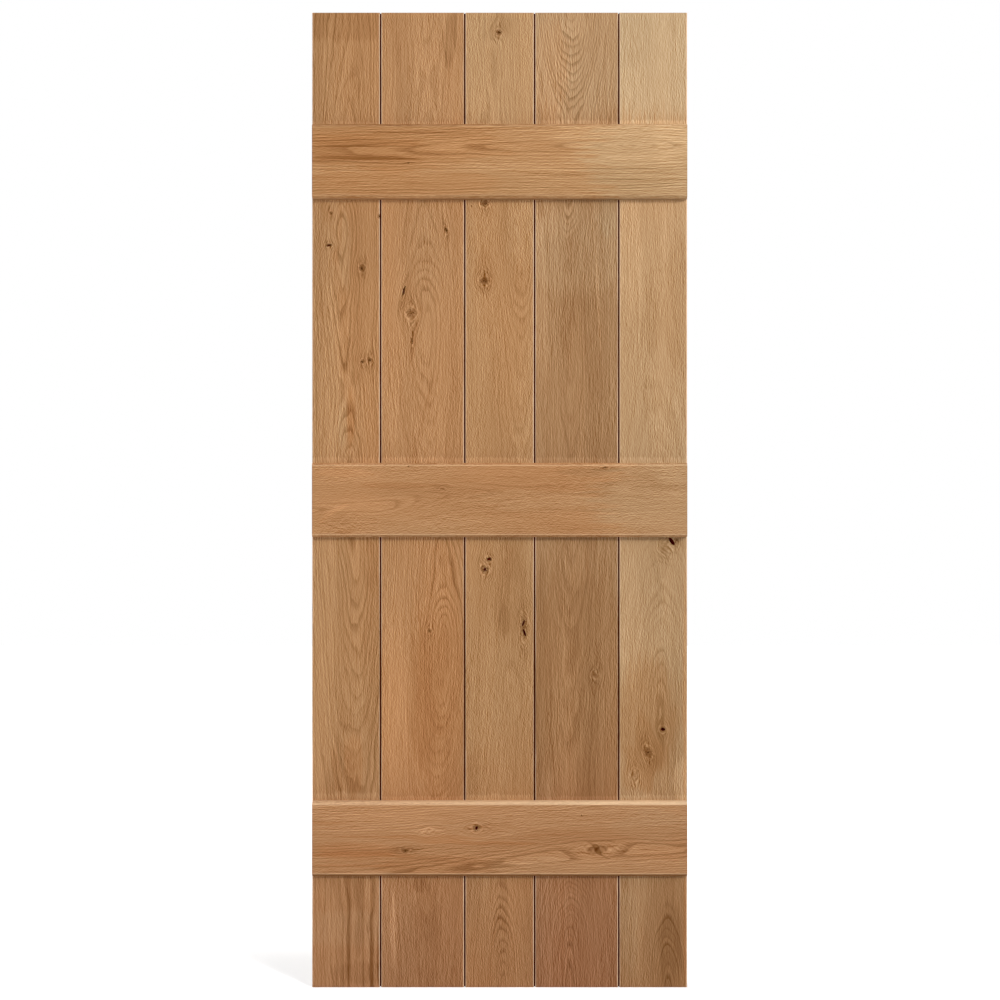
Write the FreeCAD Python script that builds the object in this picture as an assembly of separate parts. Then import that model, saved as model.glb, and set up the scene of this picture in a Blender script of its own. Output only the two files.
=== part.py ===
"""Ledged door leaf in solid oak: five tongued and grooved boards pegged to three chamfered ledges.

The ledge side faces -Y and the plain face side faces +Y. Z runs up the leaf and X across it.
The origin is at the foot of the leaf, midway across it and midway through its whole thickness.
The boards are numbered from the left as the ledge side is seen, and so are the pegs of a ledge.
"""

import FreeCAD, Part
import os

V = FreeCAD.Vector

# ---------------------------------------------------------------- driving sizes, mm

# The leaf
leaf_width = 762.0
leaf_height = 1981.0

# The boards, each as wide as it covers, from joint centre to joint centre
board_thickness = 20.0
wide_board_cover = 171.0       # boards 2 and 4
middle_board_cover = 142.0     # board 3; boards 1 and 5 share what is left of the leaf's width
joint_gap = 2.4                # open between the shoulders of two boards, for the boards to swell into
board_arris = 1.0              # eased corners of the ledge side, the leaf's edges and the boards' ends
face_side_chamfer = 3.0        # each half of the V joint on the face side

# The tongue and groove
tongue_thickness = 6.0
tongue_length = 9.0            # out from the tongued board's shoulder
tongue_tip_chamfer = 1.0
tongue_clearance = 0.3         # between the tongue and each cheek of the groove
tongue_end_room = 1.5          # between the tongue's tip and the floor of the groove

# The ledges
ledge_height = 150.0
ledge_thickness = 20.0
ledge_chamfer = 5.0            # along both long edges of the front
ledge_end_arris = 1.0          # down the two ends of the front
ledge_end_setback = 2.0        # each end, inside the edge of the leaf
outer_ledge_offset = 230.5     # from the head of the leaf down to the top ledge, and up from its foot

# The pegs, driven from the face side and stopped inside the ledges
peg_diameter = 10.0
peg_cover = 5.0                # wood left in the ledge ahead of the peg
peg_in_from_shoulder = 30.0
peg_in_from_ledge_edge = 35.0

# The open knots, bark pockets and shakes of the ledge side, each tapering inwards: the place of its
# middle across from the piece's left edge and up from its foot, half its length, half its width,
# the lean of its length to the right of upright in degrees, and its depth
knot_taper = 0.5               # size of a pocket's floor to that of its mouth
open_knots = {
    "board_1": [(33.7, 1507.3, 5.0, 1.4, 75.0, 4.0)],
    "board_2": [(45.9, 1414.6, 6.0, 1.3, -14.0, 6.0)],
    "board_3": [
        (117.9, 740.1, 7.0, 2.0, 22.0, 5.0),
        (120.1, 721.0, 8.0, 2.4, -20.0, 7.0),
        (48.2, 870.5, 4.2, 2.6, 80.0, 5.0),
        (40.1, 849.6, 3.4, 2.4, 15.0, 5.0),
    ],
    "board_5": [
        (106.6, 906.3, 9.0, 3.8, -36.0, 8.0),
        (88.7, 524.5, 4.6, 3.2, 90.0, 7.0),
    ],
    "bottom_ledge": [(332.3, 97.9, 3.6, 2.7, 12.0, 6.0)],
}

# ---------------------------------------------------------------- places worked out from them

leaf_left = -leaf_width / 2
leaf_right = leaf_width / 2
joint_plane = (ledge_thickness - board_thickness) / 2      # where the boards lie on the ledges
face_plane = joint_plane + board_thickness
ledge_front = joint_plane - ledge_thickness
tongue_middle = joint_plane + board_thickness / 2

edge_board_cover = (leaf_width - 2 * wide_board_cover - middle_board_cover) / 2
board_covers = [edge_board_cover, wide_board_cover, middle_board_cover, wide_board_cover, edge_board_cover]
last_board = len(board_covers) - 1

ledge_left = leaf_left + ledge_end_setback
ledge_right = leaf_right - ledge_end_setback
ledge_feet = {
    "top_ledge": leaf_height - outer_ledge_offset - ledge_height,
    "middle_ledge": (leaf_height - ledge_height) / 2,
    "bottom_ledge": outer_ledge_offset,
}


# ---------------------------------------------------------------- shapes that the pieces share

def prism(outline, run):
    """A straight solid: a closed outline of points, swept along the vector run."""
    wire = Part.makePolygon(outline + [outline[0]])
    return Part.Face(wire).extrude(run)


def ease(solid, corner, first, second, run):
    """The solid with one sharp edge planed off: the edge starts at corner and follows the vector run,
    and first and second reach from it into the two faces that meet there."""
    return solid.cut(prism([corner, corner + first, corner + second], run))


def knot_pocket(x, surface, z, half_length, half_width, lean, depth):
    """The open pocket of a knot: an elliptical mouth in the surface, drawn in to a smaller floor."""
    mouths = []
    for y, size in ((surface, 1), (surface + depth, knot_taper)):
        ellipse = Part.Ellipse(V(0, 0, 0), half_length * size, half_width * size).toShape()
        ellipse.rotate(V(0, 0, 0), V(1, 0, 0), 90)
        ellipse.rotate(V(0, 0, 0), V(0, 1, 0), lean - 90)
        ellipse.translate(V(x, y, z))
        mouths.append(Part.Wire(ellipse))
    return Part.makeLoft(mouths, True, True)


def open_up(solid, name, left, surface, foot):
    """The solid with the open knots of the named piece cut into its surface."""
    for across, up, half_length, half_width, lean, depth in open_knots.get(name, []):
        pocket = knot_pocket(left + across, surface, foot + up, half_length, half_width, lean, depth)
        solid = solid.cut(pocket)
    return solid


# ---------------------------------------------------------------- boards

def plain_edge(x, inward):
    """The edge of the leaf, from the ledge side to the face side; inward is +1 or -1, into the board."""
    return [
        (x + inward * board_arris, joint_plane),
        (x, joint_plane + board_arris),
        (x, face_plane - board_arris),
        (x + inward * board_arris, face_plane),
    ]


def tongued_edge(x):
    """The right edge of a board, with its tongue, from the ledge side to the face side."""
    low = tongue_middle - tongue_thickness / 2
    high = tongue_middle + tongue_thickness / 2
    tip = x + tongue_length
    return [
        (x - board_arris, joint_plane),
        (x, joint_plane + board_arris),
        (x, low),
        (tip - tongue_tip_chamfer, low),
        (tip, low + tongue_tip_chamfer),
        (tip, high - tongue_tip_chamfer),
        (tip - tongue_tip_chamfer, high),
        (x, high),
        (x, face_plane - face_side_chamfer),
        (x - face_side_chamfer, face_plane),
    ]


def grooved_edge(x):
    """The left edge of a board, with the groove for its neighbour's tongue, in the same order."""
    low = tongue_middle - tongue_thickness / 2 - tongue_clearance
    high = tongue_middle + tongue_thickness / 2 + tongue_clearance
    floor = x + tongue_length - joint_gap + tongue_end_room
    return [
        (x + board_arris, joint_plane),
        (x, joint_plane + board_arris),
        (x, low),
        (floor, low),
        (floor, high),
        (x, high),
        (x, face_plane - face_side_chamfer),
        (x + face_side_chamfer, face_plane),
    ]


def board_shoulders():
    """The left and right shoulder of each board: at the edge of the leaf, or half a gap short of a joint."""
    shoulders = []
    joint = leaf_left
    for number, cover in enumerate(board_covers):
        left = joint if number == 0 else joint + joint_gap / 2
        joint += cover
        right = joint if number == last_board else joint - joint_gap / 2
        shoulders.append((left, right))
    return shoulders


def make_board(number, left, right):
    """One board, the full height of the leaf, grooved on its left and tongued on its right."""
    left_edge = plain_edge(left, 1) if number == 0 else grooved_edge(left)
    right_edge = plain_edge(right, -1) if number == last_board else tongued_edge(right)
    section = left_edge + right_edge[::-1]
    board = prism([V(x, y, 0) for x, y in section], V(0, 0, leaf_height))
    for end, up in ((0, 1), (leaf_height, -1)):
        for side, inward in ((joint_plane, 1), (face_plane, -1)):
            corner = V(left, side, end)
            board = ease(board, corner, V(0, inward * board_arris, 0), V(0, 0, up * board_arris),
                         V(right - left, 0, 0))
    return board


# ---------------------------------------------------------------- ledges

def make_ledge(foot):
    """One ledge, chamfered along both long edges of its front and eased down its two ends."""
    head = foot + ledge_height
    section = [
        (joint_plane, foot),
        (ledge_front + ledge_chamfer, foot),
        (ledge_front, foot + ledge_chamfer),
        (ledge_front, head - ledge_chamfer),
        (ledge_front + ledge_chamfer, head),
        (joint_plane, head),
    ]
    ledge = prism([V(ledge_left, y, z) for y, z in section], V(ledge_right - ledge_left, 0, 0))
    for end, inward in ((ledge_left, 1), (ledge_right, -1)):
        corner = V(end, ledge_front, foot)
        ledge = ease(ledge, corner, V(inward * ledge_end_arris, 0, 0), V(0, ledge_end_arris, 0),
                     V(0, 0, ledge_height))
    return ledge


# ---------------------------------------------------------------- pegs

def peg_places(left, right, foot):
    """Two staggered places (x, z) where a board crosses a ledge: low on the left, high on the right."""
    return [
        (left + peg_in_from_shoulder, foot + peg_in_from_ledge_edge),
        (right - peg_in_from_shoulder, foot + ledge_height - peg_in_from_ledge_edge),
    ]


def make_peg(x, z):
    """A dry oak peg, planed off flush with the face side. The hole that it fills has the same shape."""
    length = face_plane - ledge_front - peg_cover
    return Part.makeCylinder(peg_diameter / 2, length, V(x, face_plane, z), V(0, -1, 0))


# ---------------------------------------------------------------- the leaf put together

pieces = {}

for number, (left, right) in enumerate(board_shoulders()):
    name = f"board_{number + 1}"
    pieces[name] = open_up(make_board(number, left, right), name, left, joint_plane, 0)

for ledge_name, foot in ledge_feet.items():
    ledge = open_up(make_ledge(foot), ledge_name, ledge_left, ledge_front, foot)
    peg_count = 0
    for number, (left, right) in enumerate(board_shoulders()):
        board_name = f"board_{number + 1}"
        for x, z in peg_places(left, right, foot):
            peg = make_peg(x, z)
            peg_count += 1
            pieces[f"{ledge_name}_peg_{peg_count}"] = peg
            pieces[board_name] = pieces[board_name].cut(peg)
            ledge = ledge.cut(peg)
    pieces[ledge_name] = ledge

os.makedirs("parts", exist_ok=True)
for name, piece in pieces.items():
    piece.exportStep(f"parts/{name}.step")
    print(f"{name}: {len(piece.Solids)} solid, {piece.Volume / 1000:.1f} cm3, valid {piece.isValid()}")
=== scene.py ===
import math

import bpy
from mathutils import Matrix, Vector


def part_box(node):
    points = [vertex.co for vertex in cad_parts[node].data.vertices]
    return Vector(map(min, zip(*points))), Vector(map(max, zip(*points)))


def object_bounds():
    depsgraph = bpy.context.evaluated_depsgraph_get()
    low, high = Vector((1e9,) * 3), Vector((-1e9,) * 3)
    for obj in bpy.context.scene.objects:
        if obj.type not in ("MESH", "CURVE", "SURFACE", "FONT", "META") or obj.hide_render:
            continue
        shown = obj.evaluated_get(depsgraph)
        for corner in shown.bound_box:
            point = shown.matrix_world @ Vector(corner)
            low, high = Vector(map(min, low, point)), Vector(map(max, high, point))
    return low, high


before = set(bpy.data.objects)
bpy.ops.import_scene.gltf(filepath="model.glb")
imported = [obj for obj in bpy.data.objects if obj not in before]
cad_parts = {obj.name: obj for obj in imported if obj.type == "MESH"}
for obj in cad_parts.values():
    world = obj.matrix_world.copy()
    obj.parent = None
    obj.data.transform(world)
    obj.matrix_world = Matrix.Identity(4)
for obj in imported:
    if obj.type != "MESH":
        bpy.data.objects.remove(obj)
cad_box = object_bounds()

# ---------------------------------------------------------------- camera

# Square on to the ledge side, at half the leaf's height, with a little room all round.
camera_distance = 3.0
camera_aside = 0.0007          # it stands this much to the right of the leaf's middle
view_width = 2.032             # how much it takes in across the plane of the boards
sensor_width = 36.0            # millimetres
leaf_middle = (Vector(cad_box[0]) + Vector(cad_box[1])) / 2
camera_data = bpy.data.cameras.new("camera")
camera_data.sensor_width = sensor_width
camera_data.lens = sensor_width * camera_distance / view_width
camera = bpy.data.objects.new("camera", camera_data)
camera.location = (camera_aside, -camera_distance, leaf_middle.z)
camera.rotation_euler = (math.radians(90), 0, 0)
bpy.context.collection.objects.link(camera)
bpy.context.scene.camera = camera

# ---------------------------------------------------------------- studio

# A small key lamp far up on the right draws the crisp shadow under each ledge. A broad soft lamp
# nearer on the right and a fill lamp on the left light the boards, and one far overhead catches the
# ledges' top edges. The back lamp only lights the face side.
bpy.context.scene.view_settings.view_transform = "Standard"


def add_lamp(name, place, aim_height, size, watts):
    """A square soft lamp at place, facing the leaf's upright middle line at aim_height."""
    data = bpy.data.lights.new(name, "AREA")
    data.size = size
    data.energy = watts
    lamp = bpy.data.objects.new(name, data)
    lamp.location = place
    way = Vector((0, 0, aim_height)) - Vector(place)
    lamp.rotation_euler = way.to_track_quat("-Z", "Y").to_euler()
    bpy.context.collection.objects.link(lamp)


add_lamp("key_lamp", (4.9, -6.0, 3.8), aim_height=1.0, size=0.3, watts=306)
add_lamp("soft_lamp", (1.2, -1.5, 2.2), aim_height=1.2, size=1.2, watts=17.6)
add_lamp("fill_lamp", (-1.4, -2.6, 1.25), aim_height=0.9, size=1.3, watts=29.9)
add_lamp("overhead_lamp", (0.2, -0.5, 6.0), aim_height=0.8, size=0.4, watts=122)
add_lamp("back_lamp", (-1.2, 2.4, 1.9), aim_height=1.0, size=1.6, watts=60)


def fill(socket, value):
    """Sets an input socket to a value, or joins another socket to it."""
    if isinstance(value, bpy.types.NodeSocket):
        value.id_data.links.new(value, socket)
    else:
        socket.default_value = value


def node(tree, kind, inputs=None, **settings):
    """A new node with its settings, and with its inputs filled."""
    made = tree.nodes.new(kind)
    for name, value in settings.items():
        setattr(made, name, value)
    for name, value in (inputs or {}).items():
        fill(made.inputs[name], value)
    return made


def tree_of(values):
    """The node tree that the first socket among the values is in."""
    return next(value.id_data for value in values if isinstance(value, bpy.types.NodeSocket))


def maths(operation, *terms):
    """The result of a Math node."""
    return node(tree_of(terms), "ShaderNodeMath", dict(enumerate(terms)), operation=operation).outputs[0]


def seen_ray(tree):
    """1 for a ray that shows what the eye sees, straight or in metal or glass, and 0 for one of light."""
    rays = node(tree, "ShaderNodeLightPath").outputs
    seen = maths("MAXIMUM", rays["Is Camera Ray"], rays["Is Glossy Ray"])
    return maths("MAXIMUM", seen, rays["Is Transmission Ray"])


# Round the studio all is a dim even grey, though the eye sees it as white.
dim_light = 0.05               # the strength of that grey
white = (1, 1, 1, 1)
world = bpy.data.worlds.new("studio")
world.use_nodes = True
bpy.context.scene.world = world
tree = world.node_tree
dim_sky = tree.nodes["Background"]
fill(dim_sky.inputs["Color"], white)
fill(dim_sky.inputs["Strength"], dim_light)
white_sky = node(tree, "ShaderNodeBackground", {"Color": white})
sky = node(tree, "ShaderNodeMixShader",
           {"Fac": seen_ray(tree), 1: dim_sky.outputs[0], 2: white_sky.outputs[0]})
fill(tree.nodes["World Output"].inputs["Surface"], sky.outputs[0])

# ---------------------------------------------------------------- boards

# Five upright boards of sawn, unpolished oak, slid together by a tongue and a groove and pegged to
# the ledges. Each is one solid plank: its rings run round the tree's heart, bend round its knots and
# show on both faces, its edges and its ends.


def times(*terms):
    """The product of all the terms."""
    product = terms[0]
    for term in terms[1:]:
        product = maths("MULTIPLY", product, term)
    return product


def plus(first, second):
    """The sum of two terms."""
    return maths("ADD", first, second)


def minus(first, second):
    """The first term less the second."""
    return maths("SUBTRACT", first, second)


def highest(first, second):
    """The larger of two terms."""
    return maths("MAXIMUM", first, second)


def lowest(first, second):
    """The smaller of two terms."""
    return maths("MINIMUM", first, second)


def scaled(value, factor, base=0.0):
    """base with value times factor added to it."""
    return maths("MULTIPLY_ADD", value, factor, base)


def swing(value):
    """A noise value taken to swing about zero."""
    return minus(value, 0.5)


def bell(value):
    """1 where value is zero, falling softly to nothing on both sides."""
    return maths("EXPONENT", times(value, value, -1.0))


def vectors(operation, *terms):
    """The result of a Vector Math node."""
    output = "Value" if operation == "LENGTH" else "Vector"
    made = node(tree_of(terms), "ShaderNodeVectorMath", dict(enumerate(terms)), operation=operation)
    return made.outputs[output]


def apart(vector):
    """The X, Y and Z of a vector."""
    return node(vector.id_data, "ShaderNodeSeparateXYZ", {0: vector}).outputs


def together(*parts):
    """A vector of up to three parts."""
    return node(tree_of(parts), "ShaderNodeCombineXYZ", dict(enumerate(parts))).outputs[0]


def ramp(value, start, end, low=0.0, high=1.0):
    """value taken smoothly from low at start to high at end."""
    made = node(value.id_data, "ShaderNodeMapRange",
                {"Value": value, "From Min": start, "From Max": end, "To Min": low, "To Max": high},
                interpolation_type="SMOOTHSTEP")
    return made.outputs["Result"]


def blend(amount, below, above, way="MIX"):
    """above laid over below."""
    mixer = node(tree_of((amount, below, above)), "ShaderNodeMix", {"Factor": amount},
                 data_type="RGBA", blend_type=way)
    colors = [socket for socket in mixer.inputs if socket.type == "RGBA"]
    for socket, value in zip(colors, (below, above)):
        fill(socket, value)
    return next(socket for socket in mixer.outputs if socket.type == "RGBA")


def tinted(color, tint):
    """A colour multiplied by a tint."""
    return blend(1.0, color, tint, "MULTIPLY")


def noise(place, scale, detail=1.0, roughness=0.5, shift=(0, 0, 0), output="Fac"):
    """Noise at place, with scale as one number for each axis, per metre."""
    stretched = vectors("MULTIPLY_ADD", place, scale, shift)
    made = node(place.id_data, "ShaderNodeTexNoise",
                {"Vector": stretched, "Scale": 1.0, "Detail": detail, "Roughness": roughness})
    return made.outputs[output]


def reach_from(place, middle, half_size, lean):
    """place seen from middle, and the same turned by lean and counted in half sizes, across the face."""
    away = vectors("SUBTRACT", place, middle)
    turned = node(place.id_data, "ShaderNodeVectorRotate",
                  {"Vector": away, "Axis": (0, 1, 0), "Angle": lean}, rotation_type="AXIS_ANGLE").outputs[0]
    return away, vectors("MULTIPLY", vectors("DIVIDE", turned, half_size), (1, 0, 1))


def new_group(name, inputs, outputs):
    """An empty node group with named sockets, and the sockets inside that give and take their values."""
    tree = bpy.data.node_groups.new(name, "ShaderNodeTree")
    for socket_name, kind, value in inputs:
        socket = tree.interface.new_socket(socket_name, in_out="INPUT", socket_type="NodeSocket" + kind)
        if value is not None:
            socket.default_value = value
    for socket_name, kind in outputs:
        tree.interface.new_socket(socket_name, in_out="OUTPUT", socket_type="NodeSocket" + kind)
    return tree, node(tree, "NodeGroupInput").outputs, node(tree, "NodeGroupOutput").inputs


# A knot runs straight through the thickness. It pushes the grain aside, swells the rings, and has a
# dark heart, a rim of bark, a few cracks and a brown flame above and below. Knots stand in a chain:
# each hands on the place that it has bent, and its masks laid over those of the knots before it.
knot_group, given, out = new_group(
    "oak_knot",
    [("Vector", "Vector", None), ("Middle", "Vector", (0, 0, 0)),
     ("Half Size", "Vector", (0.006, 1, 0.008)), ("Lean", "Float", 0.0), ("Bend", "Float", 0.8),
     ("Swell", "Float", 0.0), ("Body", "Float", 1.0), ("Heart", "Float", 0.4), ("Flame", "Float", 1.0),
     ("Swells", "Float", 0.0), ("Bodies", "Float", 0.0), ("Hearts", "Float", 0.0),
     ("Flames", "Float", 0.0)],
    [("Vector", "Vector"), ("Swells", "Float"), ("Bodies", "Float"), ("Hearts", "Float"),
     ("Flames", "Float")])
wood = given["Vector"]
own = given["Middle"]
away, unit = reach_from(wood, own, given["Half Size"], given["Lean"])
# reach is 1 at the knot's own ragged edge, and less within it.
ragged = noise(wood, (230, 60, 230), 3.0, 0.65, output="Color")
ragged = vectors("MULTIPLY_ADD", ragged, (2.2, 0, 2.2), (-1.1, 0, -1.1))
reach = vectors("LENGTH", vectors("ADD", unit, ragged))
plain_reach = vectors("LENGTH", unit)
body = ramp(reach, 1.15, 0.8)
heart = ramp(reach, plus(given["Heart"], 0.10), minus(given["Heart"], 0.04))
speckle = noise(wood, (380, 60, 380), shift=own)
heart = times(heart, ramp(speckle, 0.42, 0.54, 0.6, 1.0))
specks = times(ramp(speckle, 0.56, 0.62), ramp(plain_reach, 1.2, 0.7))
crack = maths("ABSOLUTE", swing(noise(vectors("NORMALIZE", unit), (1.9, 0, 1.9), shift=own)))
crack = times(ramp(crack, 0.08, 0.02), ramp(reach, 1.1, 0.7))
rim = times(ramp(reach, 0.82, 0.97), ramp(reach, 1.15, 1.0))
rim = times(rim, ramp(noise(wood, (170, 60, 170), shift=own), 0.40, 0.54))
dark = highest(highest(times(crack, 0.5), times(rim, 0.45)), specks)
dark = highest(heart, times(dark, given["Body"]))
# near fades out slowly all round the knot, and the flame along the grain.
near = bell(vectors("LENGTH", vectors("MULTIPLY", unit, (0.36, 0, 0.26))))
flame = bell(vectors("LENGTH", vectors("MULTIPLY", unit, (0.62, 0, 0.30))))
licks = scaled(noise(wood, (300, 60, 30), 3.0, 0.6), 1.6, 0.2)
flame = times(flame, licks, given["Flame"])
collar = times(ramp(reach, 1.1, 1.35), ramp(reach, 2.0, 1.5))
flame = scaled(times(collar, given["Body"]), -0.8, flame)
pull = together(times(near, given["Bend"]))
fill(out["Vector"], vectors("SUBTRACT", wood, vectors("MULTIPLY", away, pull)))
fill(out["Swells"], scaled(near, given["Swell"], given["Swells"]))
fill(out["Bodies"], highest(given["Bodies"], times(body, times(given["Body"], given["Body"]))))
fill(out["Hearts"], highest(given["Hearts"], dark))
fill(out["Flames"], plus(flame, given["Flames"]))

# A patch of paler, darker or redder wood, with its edge drawn out along the grain. It fades out
# towards the face side. Patches stand in a chain too, and add up.
patch_group, given, out = new_group(
    "oak_patch",
    [("Vector", "Vector", None), ("Middle", "Vector", (0, 0, 0)), ("Half Size", "Vector", (0.02, 1, 0.08)),
     ("Lean", "Float", 0.0), ("Light", "Float", 0.0), ("Red", "Float", 0.0),
     ("Lights", "Float", 0.0), ("Reds", "Float", 0.0)],
    [("Lights", "Float"), ("Reds", "Float")])
wood = given["Vector"]
_, unit = reach_from(wood, given["Middle"], given["Half Size"], given["Lean"])
ragged = swing(noise(wood, (160, 40, 9), 3.0, 0.6))
reach = scaled(ragged, 1.3, vectors("LENGTH", unit))
mask = times(ramp(reach, 1.1, 0.7), ramp(apart(wood)["Y"], 0.016, 0.006))
fill(out["Lights"], scaled(mask, given["Light"], given["Lights"]))
fill(out["Reds"], scaled(mask, given["Red"], given["Reds"]))

# The long edges of a board: a pale painted highlight runs along its arrises, and dust and painted
# shade lie in its open knots and in the joints between two boards. Inner Left and Inner Right tell
# which edges meet another board.
joint_wall = 0.0011            # what lies nearer to the edge than this is the wall of a joint
knot_margin = 0.004            # an open knot stays this far from the edges and the ends
knot_floor = 0.0095            # and is no deeper than this
board_edge_group, given, out = new_group(
    "oak_board_edges",
    [("Vector", "Vector", None), ("Length", "Float", 1.981), ("Width", "Float", 0.14),
     ("Inner Left", "Float", 1.0), ("Inner Right", "Float", 1.0)],
    [("Painted Highlight", "Float"), ("Dust And Shade", "Float")])
wood = given["Vector"]
across, depth, along = apart(wood)
from_right = minus(given["Width"], across)
from_edge = lowest(across, from_right)
# A pale painted highlight along each arris, stronger in some stretches than in others.
edge_shading = scaled(noise(wood, (90, 90, 18), 2.0), -0.0016, from_edge)
edge_shading = times(ramp(edge_shading, 0.0014, 0.0006), ramp(from_edge, 0.0002, 0.0006))
highlight_patchiness = ramp(noise(wood, (9, 0, 2.5), 2.0), 0.38, 0.55, 0.2, 1.0)
fill(out["Painted Highlight"], times(edge_shading, highlight_patchiness))
# A joint is darkened with dust and painted shade from behind its arris on the ledge side to the V on the
# face side.
within = times(ramp(depth, 0.0001, 0.0010), ramp(depth, 0.0185, 0.0165))
left = times(given["Inner Left"], maths("LESS_THAN", across, joint_wall))
right = times(given["Inner Right"], maths("LESS_THAN", from_right, joint_wall))
joint = times(within, highest(left, right))
# A thin dark line of dust and painted shade at the lip of each joint.
joint_lip_dust_and_shade = highest(times(given["Inner Left"], ramp(across, 0.0007, 0.0003)),
                times(given["Inner Right"], ramp(from_right, 0.0007, 0.0003)))
joint = highest(joint, times(joint_lip_dust_and_shade, 0.3))
from_end = lowest(along, minus(given["Length"], along))
inside = maths("GREATER_THAN", lowest(from_edge, from_end), knot_margin)
# Dust and painted shade lie in an open knot.
pocket = times(ramp(depth, 0.0001, 0.0006), maths("LESS_THAN", depth, knot_floor))
fill(out["Dust And Shade"], highest(joint, times(inside, pocket)))

# Sawn oak: growth rings round the tree's heart, which wanders behind the face from foot to head,
# open pores in each ring's early wood, and fibres drawn out along the length, Z. The heart's path
# comes as a colour: its place across, its depth, and how strongly the rings show.
path_shift = 0.5               # added to the place across, as a colour holds nothing under zero
path_depth = 0.2               # the depth that a full colour stands for
beside = (0.0011, 0, 0.0002)   # a fibre's painted lit side lies this far from its painted shaded side
dark_wood = (0.50, 0.31, 0.10, 1)
pale_wood = (1.50, 1.69, 1.90, 1)
deep_tone = (0.50, 0.41, 0.29, 1)
light_tone = (1.50, 1.59, 1.71, 1)
cool_tint = (0.92, 1.04, 1.14, 1)
warm_tint = (1.08, 0.96, 0.86, 1)
knot_wood = (0.17, 0.075, 0.030, 1)
# Knot stain, and the dust and painted shade of joints, open knots and the ledges' bottom chamfers, turn
# brown, and at their deepest near black.
stain_and_shade_brown = (0.155, 0.060, 0.016, 1)
black_heart = (0.050, 0.016, 0.004, 1)
dust_and_shade_black = (0.08, 0.002, 0.0003, 1)
oak_group, given, out = new_group(
    "oak",
    [("Vector", "Vector", None), ("Heart", "Color", (0.5, 0.2, 1, 1)), ("Ring Width", "Float", 0.0045),
     ("Wild", "Float", 1.0), ("Stretch", "Float", 1.0), ("Seed", "Float", 0.0),
     ("Contrast", "Float", 1.0), ("Tone", "Color", (0.43, 0.22, 0.10, 1)), ("Foot", "Color", (1, 1, 1, 1)),
     ("End Grain", "Float", 0.0), ("Length", "Float", 1.981), ("Painted Highlight", "Float", 0.0),
     ("Dust And Shade", "Float", 0.0), ("Painted Highlight Color", "Color", (0.82, 0.56, 0.38, 1)), ("Swells", "Float", 0.0),
     ("Bodies", "Float", 0.0), ("Hearts", "Float", 0.0), ("Flames", "Float", 0.0),
     ("Lights", "Float", 0.0), ("Reds", "Float", 0.0)],
    [("Color", "Color"), ("Roughness", "Float"), ("Height", "Float")])
wood = given["Vector"]
across, depth, along = apart(wood)
seed = together(given["Seed"], given["Seed"], given["Seed"])
path = node(oak_group, "ShaderNodeSeparateColor", {0: given["Heart"]}).outputs

# The distance from the heart is made to wander, and counted in rings of unlike years.
waver = swing(noise(wood, (9, 9, 4), 2.0, shift=seed))
over = scaled(waver, 0.012, minus(across, minus(path[0], path_shift)))
behind = plus(depth, times(path[1], path_depth))
radius = plus(vectors("LENGTH", together(over, behind)), given["Swells"])
swell = swing(noise(wood, (26, 26, 6), 2.0, shift=seed))
ripple = swing(noise(wood, (90, 90, 13), 2.0, 0.6, seed))
swell = scaled(swell, 0.011, times(ripple, 0.0022))
rings = maths("DIVIDE", scaled(swell, given["Wild"], radius), given["Ring Width"])
ring = maths("FLOOR", rings)
part = minus(rings, ring)
year = node(oak_group, "ShaderNodeTexWhiteNoise", {"W": plus(ring, given["Seed"])},
            noise_dimensions="1D").outputs["Value"]
early = times(ramp(part, scaled(year, 0.35, 0.40), 0.12), ramp(part, 0.0, 0.12))

# Fibres, vessels, dashes, lines and pores follow the grain; streaks also follow the rings.
drawn_out = maths("DIVIDE", along, given["Stretch"])
grain = together(scaled(waver, 0.008, across), depth, drawn_out)
shifted = vectors("ADD", grain, beside)
# Fibres and vessels are each a noise less the same noise set a little aside, which paints a lit and a
# shaded side on each.
fibres = minus(noise(grain, (760, 760, 210), shift=seed), noise(shifted, (760, 760, 210), shift=seed))
vessels = minus(noise(grain, (640, 640, 60), shift=seed), noise(shifted, (640, 640, 60), shift=seed))
dashes = noise(grain, (420, 420, 55), shift=seed)
lines = noise(grain, (430, 430, 12), shift=seed)
pores = ramp(noise(grain, (1500, 1500, 120), shift=seed), 0.55, 0.72)
streaks = noise(together(rings, depth, drawn_out), (1.0, 40, 3.5), 3.0, 0.55, seed)
clouds = noise(grain, (16, 16, 1.3), shift=seed)
bloom = noise(grain, (6, 6, 1.5), shift=seed)

# First the fine light and dark, then the broad tone with the rings in it, and the redness. Over them
# go the foot's tint, partly the wood's tone and partly painted shade, the painted highlights on the
# arrises and chamfers, the knots' wood, and what is stained, black, dusty or in painted shade.
light = scaled(fibres, 1.3, 0.5)
light = scaled(vessels, 1.1, light)
light = scaled(swing(dashes), 0.34, light)
light = scaled(swing(lines), 0.34, light)
light = scaled(swing(streaks), 0.38, light)
light = scaled(times(pores, early), -0.2, light)
busy = times(ramp(noise(wood, (15, 15, 4), shift=seed), 0.35, 0.65, 0.75, 1.25), given["Contrast"])
light = scaled(swing(light), busy, 0.5)
tone = scaled(swing(clouds), 0.40, 0.5)
ring_tone = times(minus(0.35, early), scaled(year, 0.5, 0.1))
tone = scaled(ring_tone, times(path[2], 0.75), tone)
tone = plus(tone, given["Lights"])
tone = scaled(given["Flames"], -0.30, tone)
tone = scaled(given["End Grain"], -0.22, tone)
shade = tinted(blend(light, dark_wood, pale_wood), blend(tone, deep_tone, light_tone))
red = scaled(swing(bloom), 1.6, given["Reds"])
hue = blend(scaled(red, 0.5, 0.5), cool_tint, warm_tint)
color = tinted(tinted(given["Tone"], shade), hue)
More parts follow.
